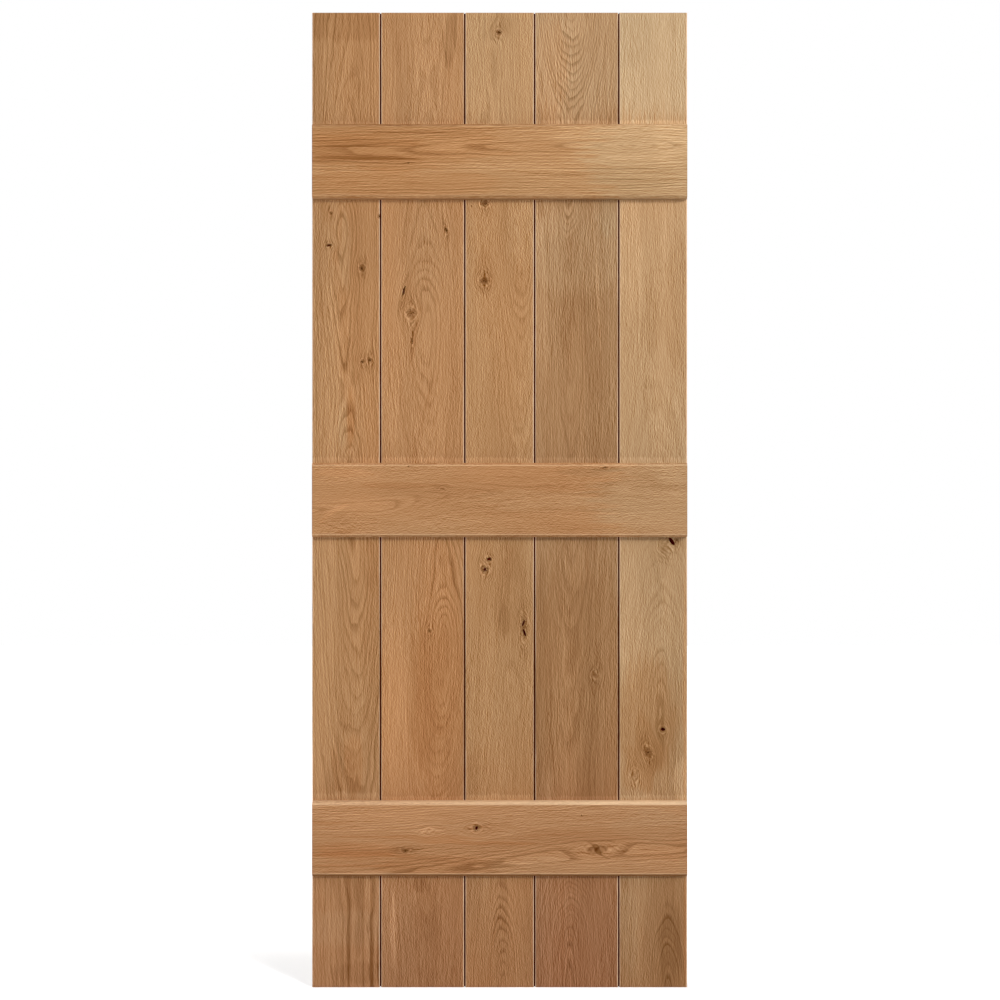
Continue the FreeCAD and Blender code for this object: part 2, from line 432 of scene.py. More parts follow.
# Over the lower third the colour takes the Foot tint, darker and redder towards the foot: partly the wood's
# own tone, partly painted shade where the light falls off.
low_down = ramp(maths("DIVIDE", along, given["Length"]), 0.32, 0.0)
color = blend(low_down, color, tinted(color, given["Foot"]))
# A pale painted highlight on the arrises and top chamfers, with the grain showing through it.
color = blend(times(given["Painted Highlight"], scaled(light, 0.4, 0.66)), color, given["Painted Highlight Color"])
color = blend(times(given["Bodies"], 0.30), color, knot_wood)
# Knot hearts are stained. Joints and open knots hold dust and painted shade, and the ledges' bottom
# chamfers hold painted shade.
stain_and_shade = highest(given["Hearts"], given["Dust And Shade"])
color = blend(times(ramp(stain_and_shade, 0.0, 0.5), 0.8), color, stain_and_shade_brown)
color = blend(ramp(given["Hearts"], 0.4, 0.95), color, black_heart)
color = blend(ramp(given["Dust And Shade"], 0.4, 0.95), color, dust_and_shade_black)
fill(out["Color"], color)
fill(out["Roughness"], scaled(stain_and_shade, 0.35, scaled(light, -0.14, 0.66)))
fill(out["Height"], noise(wood, (640, 640, 48), shift=seed))


def grouped(tree, group, values):
    """The outputs of a node group with its inputs filled."""
    return node(tree, "ShaderNodeGroup", values, node_tree=group).outputs


def chained(tree, group, values, carried, masks):
    """A node group that takes the masks of those before it, and the masks that it carries on."""
    made = grouped(tree, group, {**values, **masks})
    return made, {mask: made[mask] for mask in carried}


def heart_path(height, length, heart):
    """The heart's path up a piece, from its (along, across, depth, figure) points, as a colour."""
    path = node(height.id_data, "ShaderNodeValToRGB", {0: maths("DIVIDE", height, length)})
    path.color_ramp.interpolation = "B_SPLINE"
    stops = path.color_ramp.elements
    stops[0].position = heart[0][0] / length
    stops[1].position = heart[-1][0] / length
    for along, *_ in heart[1:-1]:
        stops.new(along / length)
    for stop, (_, across, depth, figure) in zip(stops, heart):
        stop.color = (across + path_shift, depth / path_depth, figure, 1)
    return path.outputs["Color"]


faint_gloss = 0.12             # bare oak has hardly any
warm_gloss = (1.0, 0.55, 0.25, 1)
fibre_height = 0.0005


def oak_material(name, corner, turn, grain, length, oak, heart, knots=(), patches=(), edges=None):
    """Oak for one piece. corner and turn bring the piece's lower left corner to the pattern's origin,
    with its grain along Z; grain is the piece's own grain axis. oak holds values for the oak group,
    and edges a group for the long edges with its values. All places and sizes are in metres:
    heart     (along, across, depth, figure)
    knots     (across, along, half width, half height, lean, bend, swell, body, dark heart, flame)
    patches   (across, along, half width, half height, lean, light, red)"""
    made = bpy.data.materials.new(name)
    made.use_nodes = True
    tree = made.node_tree
    where = node(tree, "ShaderNodeTexCoord").outputs
    square = node(tree, "ShaderNodeMapping",
                  {"Vector": where["Object"], "Location": corner, "Rotation": turn}).outputs[0]
    bent = square
    masks = {}
    for across, along, half_width, half_height, lean, bend, swell, body, dark_heart, flame in knots:
        knot, masks = chained(tree, knot_group, {
            "Vector": bent, "Middle": (across, 0, along), "Half Size": (half_width, 1, half_height),
            "Lean": lean, "Bend": bend, "Swell": swell, "Body": body, "Heart": dark_heart,
            "Flame": flame}, ("Swells", "Bodies", "Hearts", "Flames"), masks)
        bent = knot["Vector"]
    tints = {}
    for across, along, half_width, half_height, lean, light, red in patches:
        _, tints = chained(tree, patch_group, {
            "Vector": bent, "Middle": (across, 0, along), "Half Size": (half_width, 1, half_height),
            "Lean": lean, "Light": light, "Red": red}, ("Lights", "Reds"), tints)
    edge_shading_masks = {}
    if edges:
        edge_kind, edge_values = edges
        edge_shading = grouped(tree, edge_kind, {"Vector": square, "Length": length, **edge_values})
        edge_shading_masks = {"Painted Highlight": edge_shading["Painted Highlight"], "Dust And Shade": edge_shading["Dust And Shade"]}
    sawn = grouped(tree, oak_group, {
        "Vector": bent, "Heart": heart_path(apart(bent)["Z"], length, heart), "Length": length,
        "End Grain": maths("ABSOLUTE", apart(where["Normal"])[grain]), **edge_shading_masks, **masks, **tints, **oak})
    shader = tree.nodes["Principled BSDF"]
    shader.inputs["Specular IOR Level"].default_value = faint_gloss
    shader.inputs["Specular Tint"].default_value = warm_gloss
    fill(shader.inputs["Base Color"], sawn["Color"])
    fill(shader.inputs["Roughness"], sawn["Roughness"])
    bump = node(tree, "ShaderNodeBump",
                {"Height": sawn["Height"], "Strength": 0.35, "Distance": fibre_height})
    fill(shader.inputs["Normal"], bump.outputs[0])
    return made


def dress(piece, made):
    """Puts the material in every slot of a piece."""
    for slot in piece.material_slots:
        slot.material = made


# What each board shows, in the columns that oak_material takes, measured from its lower left corner.
# Tones are broad patches and streaks are narrow ones. Bands are pale patches of painted bounce light
# on every board at each ledge's top edge, over the whole width: (half height, light, red).
boards = {
    # Arched rings in its upper half, and small knots beside them.
    "board_1": {
        "oak": {"Seed": 1.3, "Tone": (0.362, 0.187, 0.081, 1), "Foot": (0.88, 0.81, 0.83, 1),
                "Ring Width": 0.0052, "Wild": 1.5, "Stretch": 1.3, "Contrast": 0.71},
        "heart": [
            (0, 0.1, 0.07, 0.6), (0.3, 0.088, 0.072, 0.7), (0.45, 0.089, 0.064, 0.6),
            (0.6, 0.087, 0.047, 0.65), (0.75, 0.085, 0.03, 0.8), (0.9, 0.083, 0.014, 0.9),
            (1.05, 0.08, 0.012, 0.9), (1.2, 0.068, 0.04, 0.8), (1.35, 0.064, 0.03, 0.9),
            (1.45, 0.06, 0.018, 0.8), (1.55, 0.058, 0.012, 0.7), (1.62, 0.058, 0.03, 0.8),
            (1.75, 0.08, 0.05, 0.7), (1.981, 0.075, 0.06, 0.6)],
        "knots": [
            (0.0384, 1.5735, 0.003, 0.004, 0.3, 0.6, 0, 0.7, 0.55, 0.8),
            (0.0345, 1.5085, 0.006, 0.003, 0, 0.8, 0.002, 0.8, 0.6, 0.9),
            (0.1013, 1.4618, 0.0058, 0.0062, 0, 0.9, 0.004, 0.7, 0.45, 1.0),
            (0.1023, 1.2718, 0.004, 0.004, 0, 0.7, 0, 0.7, 0.48, 0.8),
            (0.1156, 1.2749, 0.0058, 0.0056, 0, 0.8, 0.003, 0.75, 0.45, 1.2),
            (0.1362, 1.5675, 0.003, 0.005, 0, 0.5, 0, 0.8, 0.3, 0.5)],
        "tones": [
            (0.067, 1.49, 0.014, 0.085, 0, 0.08, -0.4), (0.062, 1.145, 0.01, 0.06, 0, 0.09, -0.4),
            (0.078, 1.16, 0.008, 0.07, 0, -0.08, 0.6), (0.085, 0.45, 0.022, 0.07, 0, -0.05, 0.5),
            (0.075, 0.117, 0.006, 0.15, 0, -0.24, 0.2), (0.045, 0.12, 0.012, 0.09, 0, 0.08, 0),
            (0.05, 0.44, 0.01, 0.05, 0.1, -0.08, 0.3), (0.064, 1.33, 0.008, 0.12, 0.03, -0.07, 0.2),
            (0.03, 1.575, 0.012, 0.025, 0.1, -0.07, 0.2),
            (0.046, 1.487, 0.008, 0.02, 0.2, -0.07, 0.2), (0.026, 1.1, 0.006, 0.12, 0, -0.05, 0.1),
            (0.07, 1.88, 0.12, 0.16, 0, -0.03, 0), (0.018, 0.8, 0.034, 0.52, 0, 0.15, 0),
            (0.125, 0.67, 0.026, 0.24, 0, -0.1, 0.1), (0.07, 1.955, 0.14, 0.035, 0, -0.13, 0.1),
            (0.072, 1.42, 0.026, 0.34, 0, -0.08, 0.2), (0.07, 0.12, 0.14, 0.04, 0, 0.08, -0.3),
            (0.1, 0.03, 0.06, 0.025, 0, -0.14, 0), (0.02, 0.1, 0.03, 0.14, 0, 0.08, 0),
            (0.12, 0.87, 0.025, 0.06, 0, -0.08, 0), (0.07, 1.365, 0.02, 0.05, 0, 0.07, 0)],
        "streaks": [
            (0.104, 0.09, 0.0025, 0.14, 0, -0.25, 0.2), (0.121, 0.09, 0.004, 0.15, 0, -0.26, 0.4),
            (0.136, 0.06, 0.004, 0.06, 0, -0.3, 0.4)],
        "bounce_light": {"bottom_ledge": (0.017, 0.2, -0.2), "middle_ledge": (0.013, 0.18, -0.1),
                  "top_ledge": (0.009, 0.14, 0)}},
    # A long oval of rings under the middle ledge, and an eye round a knot over it.
    "board_2": {
        "oak": {"Seed": 4.7, "Tone": (0.367, 0.185, 0.08, 1), "Foot": (0.77, 0.73, 0.77, 1),
                "Contrast": 0.79},
        "heart": [
            (0, 0.09, 0.09, 0.3), (0.3, 0.1, 0.085, 0.3), (0.5, 0.12, 0.03, 0.3),
            (0.67, 0.13, 0.012, 0.5), (0.78, 0.13, 0.018, 0.8), (0.87, 0.129, 0.032, 1),
            (0.97, 0.128, 0.052, 0.8), (1.08, 0.1, 0.06, 0.3), (1.25, 0.09, 0.038, 0.4),
            (1.38, 0.087, 0.03, 0.7), (1.48, 0.088, 0.055, 0.6), (1.75, 0.09, 0.08, 0.4),
            (1.981, 0.1, 0.07, 0.4)],
        "knots": [
            (0.1318, 1.539, 0.0035, 0.006, 0.3, 0.7, 0, 0.8, 0.62, 0.7),
            (0.0459, 1.4146, 0.0026, 0.0115, -0.25, 0.6, 0, 0.7, 0.75, 1.0),
            (0.0617, 1.3703, 0.009, 0.0095, 0, 0.9, 0.01, 0.7, 0.16, 0.6),
            (0.0627, 1.3134, 0.0022, 0.007, 0, 0.6, 0, 0.8, 0.42, 0.8),
            (0.0983, 0.7242, 0.0045, 0.005, 0, 0.7, 0.001, 0.55, 0.24, 0.5),
            (0.1298, 0.812, 0.012, 0.016, 0, 0.0, 0.012, 0.0, -1.0, -0.2)],
        "tones": [
            (0.1399, 1.925, 0.01, 0.062, 0, -0.18, 0), (0.1193, 0.6, 0.055, 0.33, 0, -0.06, 0.3),
            (0.0283, 0.58, 0.022, 0.3, 0, 0.05, 0), (0.0243, 0.117, 0.007, 0.08, 0, 0.34, -0.2),
            (0.0753, 0.208, 0.012, 0.018, 0, -0.24, 0.2), (0.018, 1.45, 0.03, 0.44, 0, 0.1, 0),
            (0.09, 0.6, 0.036, 0.16, 0, -0.13, 0.1), (0.016, 0.12, 0.026, 0.14, 0, 0.1, 0),
            (0.09, 0.09, 0.036, 0.12, 0, -0.09, 0.1), (0.084, 1.88, 0.14, 0.16, 0, 0.02, -0.4),
            (0.056, 1.4, 0.012, 0.04, -0.2, -0.07, 0.1)],
        "streaks": [
            (0.151, 1.94, 0.003, 0.05, 0, -0.24, 0), (0.129, 1.905, 0.0025, 0.05, 0.15, -0.24, 0),
            (0.0892, 1.173, 0.003, 0.105, -0.245, -0.12, 0.2),
            (0.0648, 1.3155, 0.0035, 0.05, -0.08, -0.12, 0.3),
            (0.0719, 0.767, 0.002, 0.105, 0.168, 0.11, 0),
            (0.0516, 0.523, 0.002, 0.145, 0.021, 0.11, 0),
            (0.0745, 0.767, 0.0025, 0.105, 0.168, -0.11, 0.2),
            (0.0545, 0.523, 0.0025, 0.145, 0.021, -0.1, 0.2)],
        "bounce_light": {"bottom_ledge": (0.009, 0.18, -0.2), "middle_ledge": (0.013, 0.23, -0.1),
                  "top_ledge": (0.009, 0.16, 0)}},
    # Knots above and below the middle ledge, and arches at its foot.
    "board_3": {
        "oak": {"Seed": 8.1, "Tone": (0.345, 0.189, 0.085, 1), "Foot": (0.89, 0.79, 0.77, 1),
                "Ring Width": 0.004, "Contrast": 0.92},
        "heart": [
            (0, 0.077, 0.004, 0.8), (0.1, 0.077, 0.022, 0.8), (0.2, 0.077, 0.04, 0.7),
            (0.4, 0.08, 0.05, 0.4), (0.6, 0.1, 0.05, 0.5), (0.9, 0.1, 0.055, 0.5),
            (1.1, 0.11, 0.05, 0.4), (1.3, 0.113, 0.04, 0.3), (1.42, 0.113, 0.022, 0.4),
            (1.55, 0.112, 0.013, 0.4), (1.7, 0.06, 0.03, 0.5), (1.981, 0.05, 0.03, 0.5)],
        "knots": [
            (0.0685, 1.941, 0.006, 0.0055, -0.5, 0.9, 0.006, 0.9, 0.55, 0.9),
            (0.0401, 1.5936, 0.008, 0.006, 0, 0.8, 0.003, 0.8, 0.35, 1.0),
            (0.0167, 1.5878, 0.0018, 0.0025, 0, 0.5, 0, 0.7, 0.6, 0.2),
            (0.039, 1.4354, 0.0095, 0.007, 0, 0.9, 0.005, 0.7, 0.28, 0.9),
            (0.0482, 0.8705, 0.006, 0.0042, -0.3, 0.8, 0.002, 0.8, 0.7, 0.5),
            (0.0401, 0.8496, 0.007, 0.0075, 0.4, 0.9, 0.004, 0.9, 0.3, 0.6),
            (0.119, 0.7305, 0.007, 0.022, 0, 0.7, 0.002, 0.6, 0.15, 0.6)],
        "tones": [
            (0.0803, 0.747, 0.014, 0.035, 0, -0.11, 0), (0.038, 1.762, 0.01, 0.02, 0, -0.14, 0),
            (0.03, 0.43, 0.04, 0.06, 0, -0.07, 0.2), (0.108, 0.8, 0.018, 0.03, 0.3, 0.05, 0),
            # The broad pale, less red patch over the head is partly painted sheen.
            (0.037, 1.46, 0.014, 0.05, 0, -0.12, 0.2), (0.07, 1.88, 0.12, 0.16, 0, 0.12, -0.4),
            (0.112, 1.53, 0.034, 0.08, 0, 0.12, -0.2), (0.095, 0.8, 0.04, 0.11, 0, -0.11, 0.2),
            (0.075, 0.1, 0.015, 0.14, 0, -0.13, 0), (0.072, 1.957, 0.022, 0.03, 0, -0.12, 0.1)],
        "streaks": [],
        "bounce_light": {"bottom_ledge": (0.013, 0.24, -0.2), "middle_ledge": (0.013, 0.23, -0.1),
                  "top_ledge": (0.009, 0.1, 0)}},
    # The darkest board, straight in the grain but for the arches near its head and foot.
    "board_4": {
        "oak": {"Seed": 12.4, "Tone": (0.291, 0.162, 0.076, 1), "Foot": (0.89, 0.72, 0.72, 1),
                "Ring Width": 0.0034, "Stretch": 1.4, "Contrast": 0.82},
        "heart": [
            (0, 0.073, 0.01, 0.8), (0.08, 0.073, 0.018, 0.8), (0.16, 0.073, 0.03, 0.6),
            (0.3, 0.075, 0.09, 0.3), (0.9, 0.075, 0.05, 0.4), (1.2, 0.072, 0.035, 0.4),
            (1.45, 0.07, 0.03, 0.5), (1.52, 0.07, 0.028, 0.7), (1.56, 0.069, 0.018, 0.9),
            (1.62, 0.068, 0.008, 0.9), (1.66, 0.07, 0.03, 0.9), (1.73, 0.073, 0.085, 1.2),
            (1.85, 0.073, 0.058, 2.3), (1.981, 0.072, 0.026, 2.2)],
        "knots": [
            (0.121, 0.635, 0.006, 0.0055, 0, 0.9, 0.006, 0.6, 0.0, 0.5)],
        "tones": [
            (0.01, 1.4, 0.016, 0.2, 0.04, 0.12, 0), (0.075, 1.3, 0.03, 0.3, 0.03, -0.07, 0.1),
            # The broad pale, less red patches across the upper board are partly painted sheen.
            (0.15, 1.57, 0.025, 0.05, 0, 0.05, -0.4), (0.084, 1.88, 0.14, 0.17, 0, 0.18, -0.1),
            (0.03, 1.86, 0.04, 0.12, 0, 0.03, 0.5), (0.084, 1.5, 0.14, 0.1, 0, 0.16, -0.3),
            (0.085, 1.2, 0.022, 0.2, 0, 0.1, 0), (0.084, 1.9, 0.14, 0.14, 0, 0.06, -0.5),
            (0.084, 0.6, 0.16, 0.29, 0, -0.1, 0.3), (0.016, 0.62, 0.026, 0.26, 0, -0.09, 0.1),
            (0.084, 0.09, 0.14, 0.12, 0, 0.0, -0.2), (0.02, 1.56, 0.03, 0.05, 0, 0.11, 0),
            (0.085, 0.86, 0.03, 0.05, 0, 0.09, 0), (0.085, 1.955, 0.03, 0.03, 0, 0.1, 0)],
        "streaks": [
            (0.1281, 1.397, 0.003, 0.115, 0.046, 0.22, 0), (0.0577, 0.7, 0.002, 0.1, 0, 0.08, 0),
            (0.055, 0.1, 0.004, 0.14, 0, -0.1, 0.3)],
        "bounce_light": {"bottom_ledge": (0.009, 0.18, -0.2), "middle_ledge": (0.013, 0.19, -0.1),
                  "top_ledge": (0.013, 0.24, 0)}},
    # The palest board, with all its knots below the middle ledge.
    "board_5": {
        "oak": {"Seed": 15.9, "Tone": (0.383, 0.238, 0.122, 1), "Foot": (0.7, 0.58, 0.5, 1),
                "Ring Width": 0.0038, "Stretch": 1.5, "Contrast": 0.82},
        "heart": [
            (0, 0.1, 0.006, 0.8), (0.1, 0.1, 0.028, 0.8), (0.2, 0.1, 0.048, 0.6),
            (0.35, 0.09, 0.03, 0.5), (0.5, 0.085, 0.02, 0.5), (0.65, 0.085, 0.028, 0.6),
            (0.78, 0.086, 0.05, 0.3), (1.0, 0.088, 0.09, 0.2), (1.3, 0.07, 0.12, 0.12),
            (1.981, 0.07, 0.12, 0.15)],
        "knots": [
            (0.0918, 0.895, 0.01, 0.01, 0, 0.8, 0.008, 0.25, 0.0, 0.8),
            (0.1066, 0.9063, 0.0105, 0.0055, 0.63, 0.9, 0.002, 0.6, 0.3, 0.8),
            (0.0887, 0.5245, 0.006, 0.0055, 0, 0.9, 0.002, 0.8, 0.5, 0.9),
            (0.0582, 0.4784, 0.007, 0.01, 0.35, 0.9, 0.008, 0.85, 0.22, 0.7),
            (0.0318, 0.4316, 0.008, 0.01, 0, 0.8, 0.004, 0.3, -1.0, 0.3)],
        "tones": [
            (0.103, 0.082, 0.025, 0.1, 0, -0.2, 0), (0.02, 0.11, 0.02, 0.1, 0, 0.08, -0.3),
            (0.0823, 0.807, 0.008, 0.03, 0, -0.08, 0), (0.0693, 0.44, 0.045, 0.06, 0, -0.03, 0.2),
            (0.06, 0.5, 0.02, 0.065, 0.35, -0.08, 0.3), (0.038, 0.425, 0.028, 0.035, 0.3, -0.05, 0.3),
            (0.083, 0.865, 0.016, 0.045, 0, -0.08, 0), (0.02, 0.75, 0.03, 0.14, 0, 0.05, 0),
            # The broad pale, less red patch over the head is partly painted sheen.
            (0.07, 1.89, 0.16, 0.14, 0, 0.12, -0.8), (0.02, 1.93, 0.05, 0.07, 0, -0.08, 0),
            (0.12, 1.39, 0.034, 0.15, 0, -0.1, 0.2), (0.058, 0.55, 0.07, 0.13, 0, -0.16, 0.6),
            (0.03, 0.44, 0.04, 0.05, 0, -0.05, 0.3), (0.128, 0.42, 0.02, 0.05, 0, 0.2, 0),
            (0.02, 1.5, 0.026, 0.14, 0, 0.08, 0), (0.112, 0.84, 0.03, 0.16, 0, 0.07, 0.1),
            (0.02, 0.12, 0.03, 0.16, 0, 0.07, 0), (0.068, 1.355, 0.022, 0.07, 0, -0.09, 0.1)],
        "streaks": [
            (0.133, 0.12, 0.003, 0.11, 0, 0.0, 1.0), (0.134, 0.6, 0.005, 0.25, 0, 0.02, 0.8)],
        "bounce_light": {"bottom_ledge": (0.012, 0.22, -0.2), "middle_ledge": (0.013, 0.2, -0.1),
                  "top_ledge": (0.013, 0.24, 0)}},
}

tongue = 0.009                 # how far a board's tongue reaches into the next board
for name, values in boards.items():
    low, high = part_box(name)
    first = name == "board_1"
    last = name == "board_5"
    face = high[0] - low[0] - (0 if last else tongue)
    # A pale band of painted bounce light on the board at each ledge's top edge.
    bounce_light = [(face / 2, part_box(ledge)[1][2], face, half_height, 0, light, red)
             for ledge, (half_height, light, red) in values["bounce_light"].items()]
    made = oak_material(
        name + "_oak", corner=(-low[0], 0, 0), turn=(0, 0, 0), grain="Z", length=high[2],
        oak=values["oak"], heart=values["heart"], knots=values["knots"],
        patches=values["tones"] + values["streaks"] + bounce_light,
        edges=(board_edge_group, {"Width": face, "Inner Left": not first, "Inner Right": not last}))
    dress(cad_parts[name], made)

# ---------------------------------------------------------------- ledges

# Three ledges of the same oak lie flat across the boards, with both long edges chamfered at the front.
# Pegs driven from the face side hold each board to each ledge.

# The long edges of a ledge: a pale painted highlight along the corners of its front, more or less
# painted shade on the bottom chamfer, dust and painted shade in an open knot, and a pale painted
# highlight on the top chamfer, growing towards the right end, as strongly as the input asks.
ledge_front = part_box("top_ledge")[0][1]
chamfer = 0.0050
open_knot_margin = 0.006       # the open knot stays this far from the edges and the ends
open_knot_depth = 0.0065       # and is no deeper than this
ledge_edge_group, given, out = new_group(
    "oak_ledge_edges",
    [("Vector", "Vector", None), ("Length", "Float", 0.758), ("Height", "Float", 0.15),
     ("Top Highlight", "Float", 0.0), ("Line", "Float", 0.3), ("Chamfer Shade", "Float", 0.0)],
    [("Painted Highlight", "Float"), ("Dust And Shade", "Float")])
wood = given["Vector"]
from_top, depth, along = apart(wood)
from_foot = minus(given["Height"], from_top)
from_front = minus(depth, ledge_front)
from_corner = maths("ABSOLUTE", minus(lowest(from_top, from_foot), chamfer + 0.0002))
# A thin pale painted highlight along the front corners.
edge_shading = times(ramp(from_corner, 0.0020, 0.0004), ramp(from_front, chamfer + 0.0005, chamfer - 0.0005),
               given["Line"])
# A pale painted highlight on the top chamfer, stronger towards the right end, where the light comes from.
top_highlight = times(ramp(from_top, chamfer + 0.0006, chamfer - 0.0004), given["Top Highlight"])
top_highlight = times(top_highlight, ramp(along, 0.0, given["Length"], 0.6, 1.25))
fill(out["Painted Highlight"], highest(edge_shading, top_highlight))
# Painted shade on the bottom chamfer.
dark = times(ramp(from_foot, chamfer, chamfer - 0.0015), given["Chamfer Shade"])
from_end = lowest(along, minus(given["Length"], along))
# Dust and painted shade lie in an open knot in the front.
inside = maths("GREATER_THAN", lowest(lowest(from_top, from_foot), from_end), open_knot_margin)
pocket = times(ramp(from_front, 0.0001, 0.0006), maths("LESS_THAN", from_front, open_knot_depth))
fill(out["Dust And Shade"], highest(dark, times(inside, pocket)))

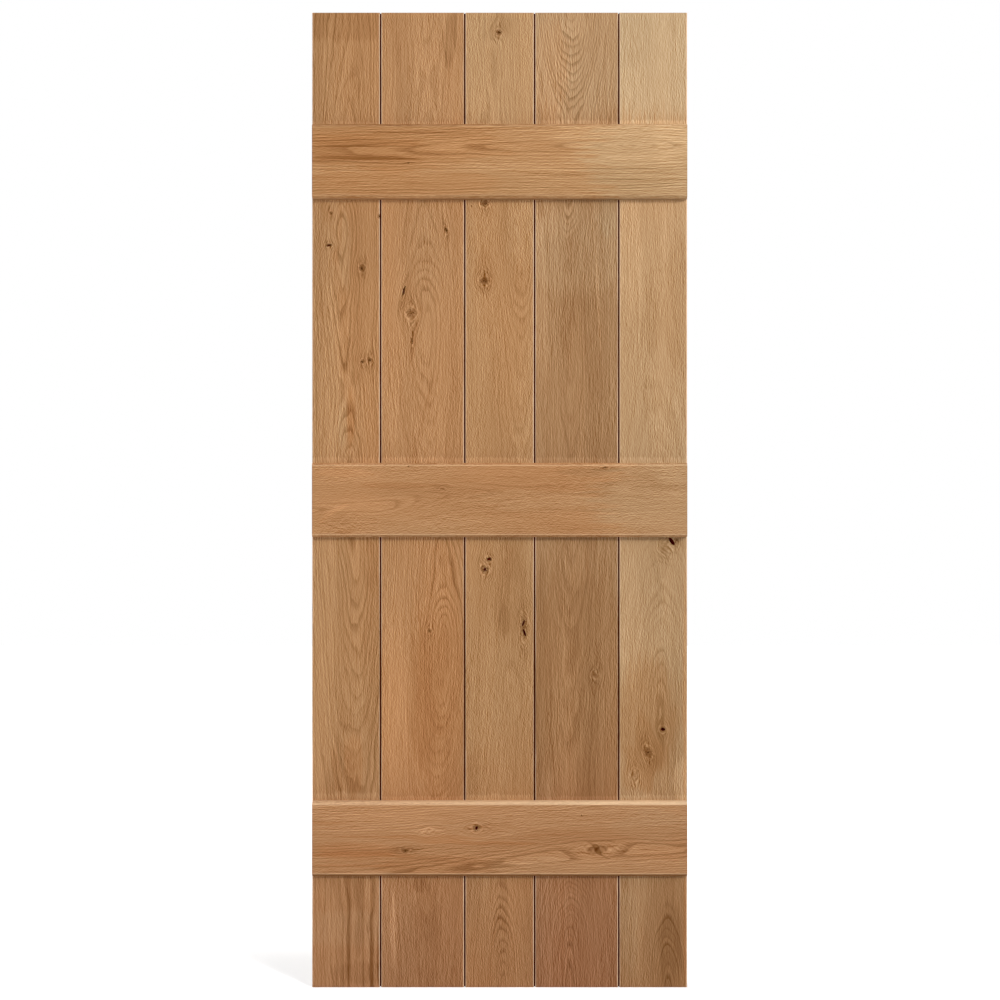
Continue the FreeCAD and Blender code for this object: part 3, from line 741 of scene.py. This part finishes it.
# What each ledge shows: across is down from its top edge, and along is from its left end.
ledges = {
    # Strong long rings, with dark streaks along them.
    "top_ledge": {
        "oak": {"Seed": 21.3, "Tone": (0.368, 0.198, 0.088, 1), "Ring Width": 0.0055, "Stretch": 2.2,
                "Contrast": 0.7},
        "edges": {"Top Highlight": 0.0, "Line": 0.12, "Chamfer Shade": 0.1},
        "heart": [
            (0, 0.058, 0.05, 1.6), (0.15, 0.055, 0.045, 1.6), (0.3, 0.052, 0.04, 1.2),
            (0.45, 0.048, 0.035, 1), (0.58, 0.045, 0.03, 1.2), (0.67, 0.045, 0.014, 1.4),
            (0.758, 0.045, 0.002, 1.4)],
        "knots": [
            (0.0795, 0.1948, 0.0015, 0.003, 0, 0.5, 0, 0.5, 0.7, 0.4)],
        "tones": [
            (0.04, 0.116, 0.008, 0.13, 0, -0.1, 0.3), (0.068, 0.1, 0.006, 0.11, 0, -0.08, 0.3),
            # The broad pale, less red patch at the right end is partly painted sheen.
            (0.047, 0.7475, 0.007, 0.009, 0, -0.06, 0.8), (0.07, 0.72, 0.12, 0.17, 0, 0.09, -1.2),
            (0.028, 0.05, 0.006, 0.09, 0, -0.06, 0.4), (0.075, 0.05, 0.12, 0.2, 0, -0.04, 0.1),
            (0.035, 0.17, 0.065, 0.25, 0, -0.11, 0.5), (0.028, 0.66, 0.055, 0.18, 0, 0.18, -0.4),
            (0.04, 0.74, 0.06, 0.06, 0, 0.1, -0.2), (0.128, 0.46, 0.035, 0.32, 0, -0.08, 0.1),
            (0.125, 0.17, 0.035, 0.24, 0, -0.03, 0.5)],
        "streaks": [
            (0.0185, 0.215, 0.0016, 0.11, 0, -0.27, 0.2), (0.0459, 0.08, 0.0018, 0.1, 0, -0.27, 0.4),
            (0.0703, 0.1, 0.0035, 0.13, -0.03, -0.25, 0.4), (0.0916, 0.64, 0.0016, 0.14, 0, -0.27, 0),
            (0.102, 0.6, 0.0014, 0.16, 0.02, -0.19, 0), (0.113, 0.66, 0.0016, 0.11, 0, -0.25, 0),
            # The last streak darkens the top chamfer all along: painted shade.
            (0.123, 0.68, 0.0012, 0.09, 0.05, -0.23, 0), (0.0022, 0.38, 0.0032, 0.9, 0, -0.2, 0)]},
    # Close plain grain, with a small knot near its top edge.
    "middle_ledge": {
        "oak": {"Seed": 27.7, "Tone": (0.365, 0.186, 0.082, 1), "Stretch": 0.75, "Contrast": 0.7},
        "edges": {"Top Highlight": 0.0, "Line": 0.35, "Chamfer Shade": 0.15},
        "heart": [
            (0, 0.1, 0.03, 0.7), (0.1, 0.1, 0.03, 0.7), (0.3, 0.05, 0.05, 0.5),
            (0.5, 0.06, 0.06, 0.5), (0.758, 0.05, 0.05, 0.5)],
        "knots": [
            (0.0101, 0.5923, 0.0025, 0.006, 0, 0.7, 0, 0.7, 0.35, 1.0),
            (0.007, 0.1948, 0.0015, 0.003, 0, 0.5, 0, 0.5, 0.5, 0.4),
            (0.1259, 0.0567, 0.014, 0.016, 0, 0.5, 0.01, 0.0, -1.0, 0.4),
            (0.0527, 0.2639, 0.003, 0.005, 0, 0.5, 0, 0.3, -1.0, 0.3)],
        "tones": [
            (0.0466, 0.1766, 0.008, 0.09, 0, -0.08, 0.3),
            # The broad pale, less red patch at the right end is partly painted sheen.
            (0.018, 0.5626, 0.008, 0.07, 0, -0.06, -0.3), (0.075, 0.73, 0.12, 0.17, 0, 0.03, -0.8),
            (0.105, 0.045, 0.006, 0.035, 0.5, 0.09, 0.2), (0.05, 0.259, 0.006, 0.018, 0, -0.07, 0),
            (0.02, 0.06, 0.01, 0.06, 0, 0.04, 0.2), (0.075, 0.03, 0.12, 0.12, 0, 0.05, 0.1),
            (0.075, 0.48, 0.12, 0.14, 0, -0.05, 0), (0.02, 0.75, 0.035, 0.06, 0, 0.12, -0.3),
            (0.075, 0.45, 0.025, 0.14, 0, 0.08, -0.3)],
        "streaks": [
            (0.035, 0.31, 0.005, 0.08, 0, -0.05, 0.1), (0.134, 0.067, 0.004, 0.02, 0, -0.1, 0.3),
            # This streak darkens the top chamfer all along: painted shade.
            (0.0015, 0.38, 0.0028, 0.9, 0, -0.14, 0)]},
    # The reddest ledge: knots, and rings that run round a swelling on the right.
    "bottom_ledge": {
        "oak": {"Seed": 33.2, "Tone": (0.345, 0.172, 0.077, 1), "Ring Width": 0.005, "Stretch": 1.5,
                "Contrast": 0.72},
        "edges": {"Top Highlight": 0.62, "Line": 0.35, "Chamfer Shade": 0.45},
        "heart": [
            (0, 0.15, 0.05, 1.1), (0.2, 0.145, 0.045, 1.1), (0.4, 0.12, 0.04, 0.8),
            (0.52, 0.1, 0.035, 0.7), (0.65, 0.097, 0.035, 0.8), (0.758, 0.09, 0.04, 0.9)],
        "knots": [
            (0.0521, 0.3323, 0.0065, 0.0075, 0, 0.9, 0.002, 0.8, 0.3, 0.5),
            (0.0971, 0.1878, 0.004, 0.0075, 0, 0.8, 0.002, 0.8, 0.42, 1.0),
            (0.0585, 0.2335, 0.006, 0.007, 0, 0.8, 0.004, 0.2, -1.0, -0.4),
            (0.0955, 0.58, 0.009, 0.019, 0.1, 0.9, 0.011, 0.1, -1.0, 0.25),
            (0.026, 0.5443, 0.0015, 0.002, 0, 0.3, 0, 0.5, 0.5, 0.3)],
        "tones": [
            (0.1, 0.085, 0.02, 0.09, 0, -0.06, 0.5), (0.07, 0.25, 0.006, 0.12, 0, -0.07, 0.5),
            (0.03, 0.15, 0.006, 0.12, 0, 0.06, 0), (0.05, 0.69, 0.04, 0.09, 0, 0.04, -0.3),
            (0.022, 0.38, 0.035, 0.9, 0, 0.06, -0.3), (0.068, 0.18, 0.024, 0.26, 0, 0.1, -0.2),
            (0.128, 0.25, 0.024, 0.13, 0, -0.11, 0.4), (0.13, 0.58, 0.024, 0.24, 0, 0.12, -0.3)],
        "streaks": [
            (0.0176, 0.727, 0.0012, 0.03, 0, 0.3, 0), (0.0418, 0.03, 0.0025, 0.05, 0, -0.1, 0.5),
            (0.0697, 0.1, 0.002, 0.08, 0, -0.1, 0.5), (0.081, 0.32, 0.005, 0.14, -0.03, -0.08, 0.7),
            (0.105, 0.12, 0.005, 0.13, 0, -0.07, 0.6), (0.128, 0.09, 0.003, 0.11, 0, -0.09, 0.5),
            (0.112, 0.33, 0.0014, 0.13, -0.1, 0.12, 0), (0.094, 0.572, 0.002, 0.018, -0.35, -0.26, 0),
            (0.102, 0.592, 0.0018, 0.014, -0.45, -0.22, 0),
            (0.089, 0.604, 0.0016, 0.012, -0.2, -0.2, 0),
            (0.066, 0.5, 0.003, 0.11, 0.03, -0.06, 0.3)]},
}

ledge_highlight_color = (0.74, 0.53, 0.33, 1)     # the painted highlight on the ledges' edges, a little darker than on the boards' arrises
for name, values in ledges.items():
    low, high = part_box(name)
    made = oak_material(
        name + "_oak", corner=(high[2], 0, -low[0]), turn=(0, math.radians(-90), 0), grain="X",
        length=high[0] - low[0], oak={**values["oak"], "Painted Highlight Color": ledge_highlight_color},
        heart=values["heart"], knots=values["knots"], patches=values["tones"] + values["streaks"],
        edges=(ledge_edge_group, {"Height": high[2] - low[2], **values["edges"]}))
    dress(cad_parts[name], made)

# ---------------------------------------------------------------- pegs

# Thirty round pegs of darker oak, two to a board at each ledge, driven in from the face side and cut
# off flush there. All are cleft from one kind of straight-grained stock, along their length.
peg_heart = (0.1, 0.1, 1)      # across, depth and figure, the same all along
made = oak_material("peg_oak", corner=(0, 0, 0), turn=(math.radians(90), 0, 0), grain="Y", length=1,
                    oak={"Seed": 40.0, "Tone": (0.25, 0.125, 0.056, 1)},
                    heart=[(0, *peg_heart), (1, *peg_heart)])
for name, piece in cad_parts.items():
    if "_peg_" in name:
        dress(piece, made)

# ---------------------------------------------------------------- floor

# A matt white floor. Near the leaf it keeps the leaf's soft shadow; far off it fades into white.
floor_size = 14.0
fade_start = 0.5               # from the leaf's middle line
fade_end = 3.5
near_glow = 0.45
paint = (0.8, 0.8, 0.8, 1)
bpy.ops.mesh.primitive_grid_add(size=floor_size, location=(0, 0, 0))
floor = bpy.context.object
floor.name = "floor"
made = bpy.data.materials.new("floor_paint")
made.use_nodes = True
tree = made.node_tree
shader = tree.nodes["Principled BSDF"]
shader.inputs["Base Color"].default_value = paint
shader.inputs["Roughness"].default_value = 0.9
away = vectors("LENGTH", node(tree, "ShaderNodeTexCoord").outputs["Object"])
strength = times(seen_ray(tree), ramp(away, fade_start, fade_end, near_glow, 1.0))
glow = node(tree, "ShaderNodeEmission", {"Color": white, "Strength": strength})
both = node(tree, "ShaderNodeAddShader", {0: shader.outputs[0], 1: glow.outputs[0]})
fill(tree.nodes["Material Output"].inputs["Surface"], both.outputs[0])
floor.data.materials.append(made)
